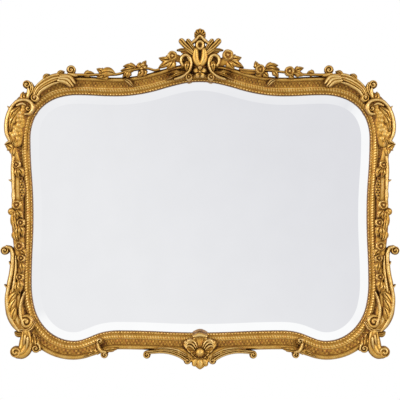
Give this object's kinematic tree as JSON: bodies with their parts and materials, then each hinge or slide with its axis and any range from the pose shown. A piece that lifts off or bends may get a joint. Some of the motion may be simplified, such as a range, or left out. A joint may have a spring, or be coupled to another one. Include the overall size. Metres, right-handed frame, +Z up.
{
  "type": "overmantel mirror",
  "caption": "Landscape wall mirror: a shaped bevelled plate in a gilt rococo frame with carved crest, garlands, acanthus corners and shell base, hung by rings behind.",
  "frame": {"origin": "centre of the opening, on the flat back of the frame that faces the wall", "axes": "+X to the viewer's right, +Y back towards the wall, +Z up; the mirror faces -Y"},
  "size_m": [1.2004, 0.075, 1.0259],
  "materials": {
    "gilt_moulding": "gold leaf over red bole, rubbed and toned",
    "gilt_carving": "gold leaf over red bole, burnished on the high points",
    "silvered_glass": "silvered plate glass with a polished bevel",
    "backing_board": "raw fibreboard",
    "bare_wood": "sawn pine",
    "zinc_steel": "bright zinc plate",
    "brass": "brass plated wire",
    "rubber": "soft black rubber"
  },
  "bodies": {
    "frame": {"backing_board": "backing_board", "backing_screws": "zinc_steel", "base_shell": "gilt_carving", "bottom_rail": "gilt_moulding", "corner_plate_bottom_left": "zinc_steel", "corner_plate_bottom_right": "zinc_steel", "corner_plate_screws": "zinc_steel", "corner_plate_top_left": "zinc_steel", "corner_plate_top_right": "zinc_steel", "crest_brace": "bare_wood", "crest_brace_screws": "zinc_steel", "crest_cartouche": "gilt_carving", "crest_finial": "gilt_carving", "crest_flower": "gilt_carving", "hanger_screws": "zinc_steel", "left_base_scroll": "gilt_carving", "left_crest_bud": "gilt_carving", "left_crest_rose": "gilt_carving", "left_crest_scroll": "gilt_carving", "left_crest_spray": "gilt_carving", "left_foot_leaf": "gilt_carving", "left_foot_scroll": "gilt_carving", "left_garland": "gilt_carving", "left_hanger_strap": "zinc_steel", "left_lower_acanthus": "gilt_carving", "left_rail_leaf": "gilt_carving", "left_shell_scroll": "gilt_carving", "left_shoulder_scroll": "gilt_carving", "left_shoulder_shield": "gilt_carving", "left_side_drop": "gilt_carving", "left_side_scroll": "gilt_carving", "left_stile": "gilt_moulding", "left_top_acanthus": "gilt_carving", "mirror_plate": "silvered_glass", "right_base_scroll": "gilt_carving", "right_crest_bud": "gilt_carving", "right_crest_rose": "gilt_carving", "right_crest_scroll": "gilt_carving", "right_crest_spray": "gilt_carving", "right_foot_leaf": "gilt_carving", "right_foot_scroll": "gilt_carving", "right_garland": "gilt_carving", "right_hanger_strap": "zinc_steel", "right_lower_acanthus": "gilt_carving", "right_rail_leaf": "gilt_carving", "right_shell_scroll": "gilt_carving", "right_shoulder_scroll": "gilt_carving", "right_shoulder_shield": "gilt_carving", "right_side_drop": "gilt_carving", "right_side_scroll": "gilt_carving", "right_stile": "gilt_moulding", "right_top_acanthus": "gilt_carving", "setting_blocks": "rubber", "shell_pearl": "gilt_carving", "top_rail": "gilt_moulding", "wall_bumpers": "rubber"},
    "left_ring": {"left_hanger_ring": "brass"},
    "right_ring": {"right_hanger_ring": "brass"}
  },
  "joints": [
    {"name": "left_ring_hinge", "type": "hinge", "parent": "frame", "child": "left_ring", "pos_m": [-0.54688, 0.0039, 0.14893], "axis": [1, 0, 0], "range_deg": [0, 180]},
    {"name": "right_ring_hinge", "type": "hinge", "parent": "frame", "child": "right_ring", "pos_m": [0.54688, 0.0039, 0.14893], "axis": [1, 0, 0], "range_deg": [0, 180]}
  ]
}
